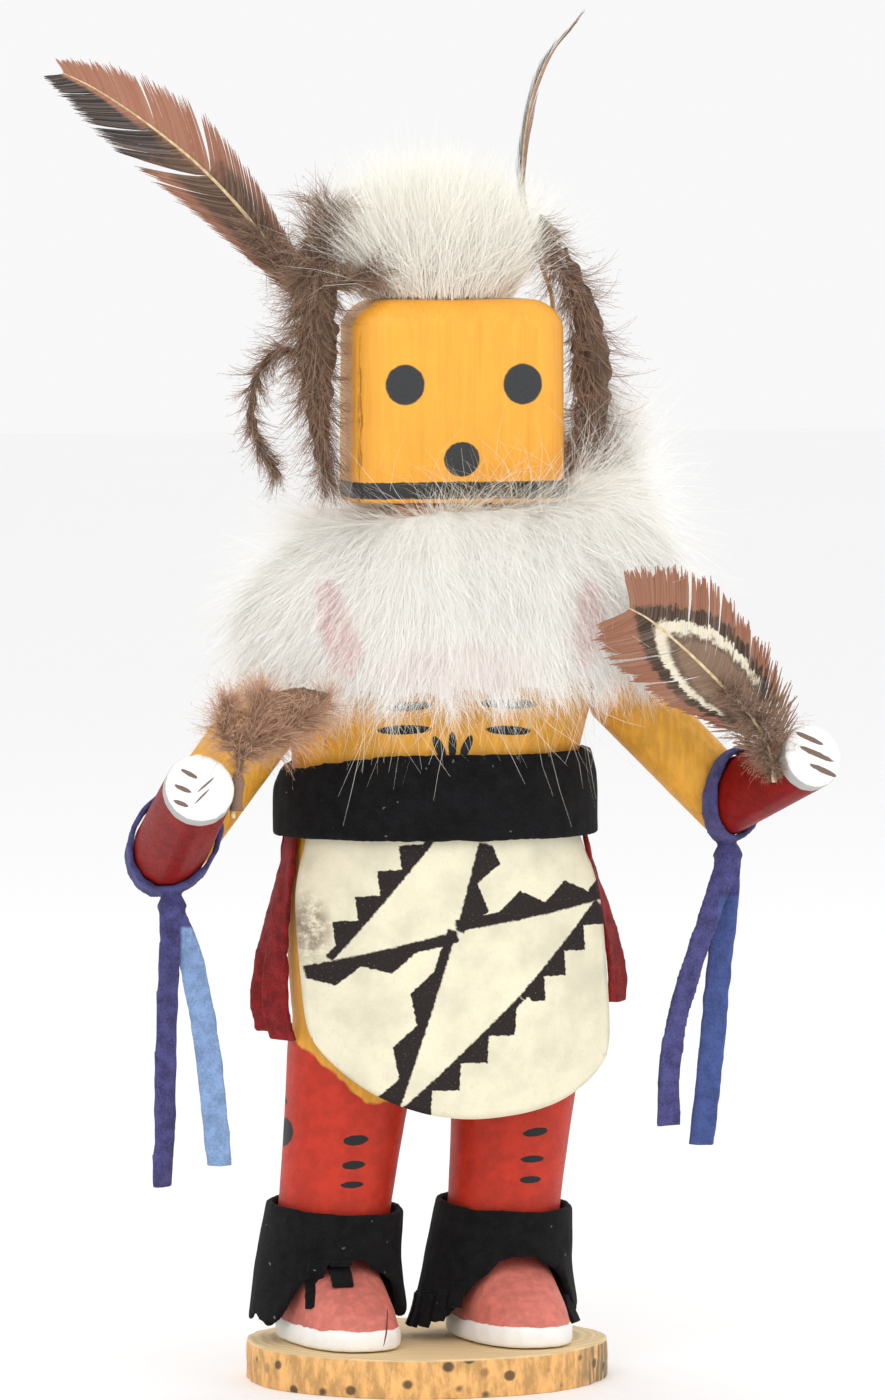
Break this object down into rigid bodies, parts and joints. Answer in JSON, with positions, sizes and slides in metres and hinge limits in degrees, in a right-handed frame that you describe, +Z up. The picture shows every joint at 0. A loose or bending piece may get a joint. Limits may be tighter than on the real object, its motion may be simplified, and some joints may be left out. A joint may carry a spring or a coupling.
{
  "type": "kachina doll",
  "caption": "Carved and painted wooden kachina doll with fur crest and ruff, feathers, suede belt, leather apron and arm ties, standing on a slice of branch.",
  "frame": {"origin": "centre of the flat underside of the branch slice that the doll stands on", "axes": "+Z up; the doll faces -Y; +X is the doll's own left side"},
  "size_m": [0.1642, 0.083, 0.2962],
  "materials": {
    "branch_wood": "sawn face and thin bark",
    "painted_body": "brushed acrylic paint on carved wood",
    "painted_head": "satin acrylic paint on carved wood",
    "painted_moccasin": "matt acrylic paint on carved wood",
    "painted_forearm": "satin acrylic paint on dowel",
    "black_suede": "napped suede",
    "apron_leather": "matt painted split leather",
    "red_suede": "napped suede",
    "blue_suede": "napped suede",
    "white_fur": "long rabbit fur",
    "brown_down": "soft down barbs",
    "rust_feather": "smooth feather vane"
  },
  "bodies": {
    "root": {"base_slice": "branch_wood", "body": "painted_body", "head": "painted_head", "foot_right": "painted_moccasin", "foot_left": "painted_moccasin", "upper_arm_right": "painted_body", "upper_arm_left": "painted_body", "forearm_right": "painted_forearm", "forearm_left": "painted_forearm", "belt": "black_suede", "apron": "apron_leather", "sash_right_front": "red_suede", "sash_right_back": "red_suede", "sash_left": "red_suede", "arm_tie_right": "blue_suede", "arm_tie_left": "blue_suede", "anklet_right": "black_suede", "anklet_left": "black_suede", "fur_crest": "white_fur", "fur_ruff": "white_fur", "down_plume_right": "brown_down", "down_plume_left": "brown_down", "feather_head_right": "rust_feather", "feather_head_left": "rust_feather", "feather_hand_right": "brown_down", "feather_hand_left": "rust_feather"}
  },
  "joints": []
}
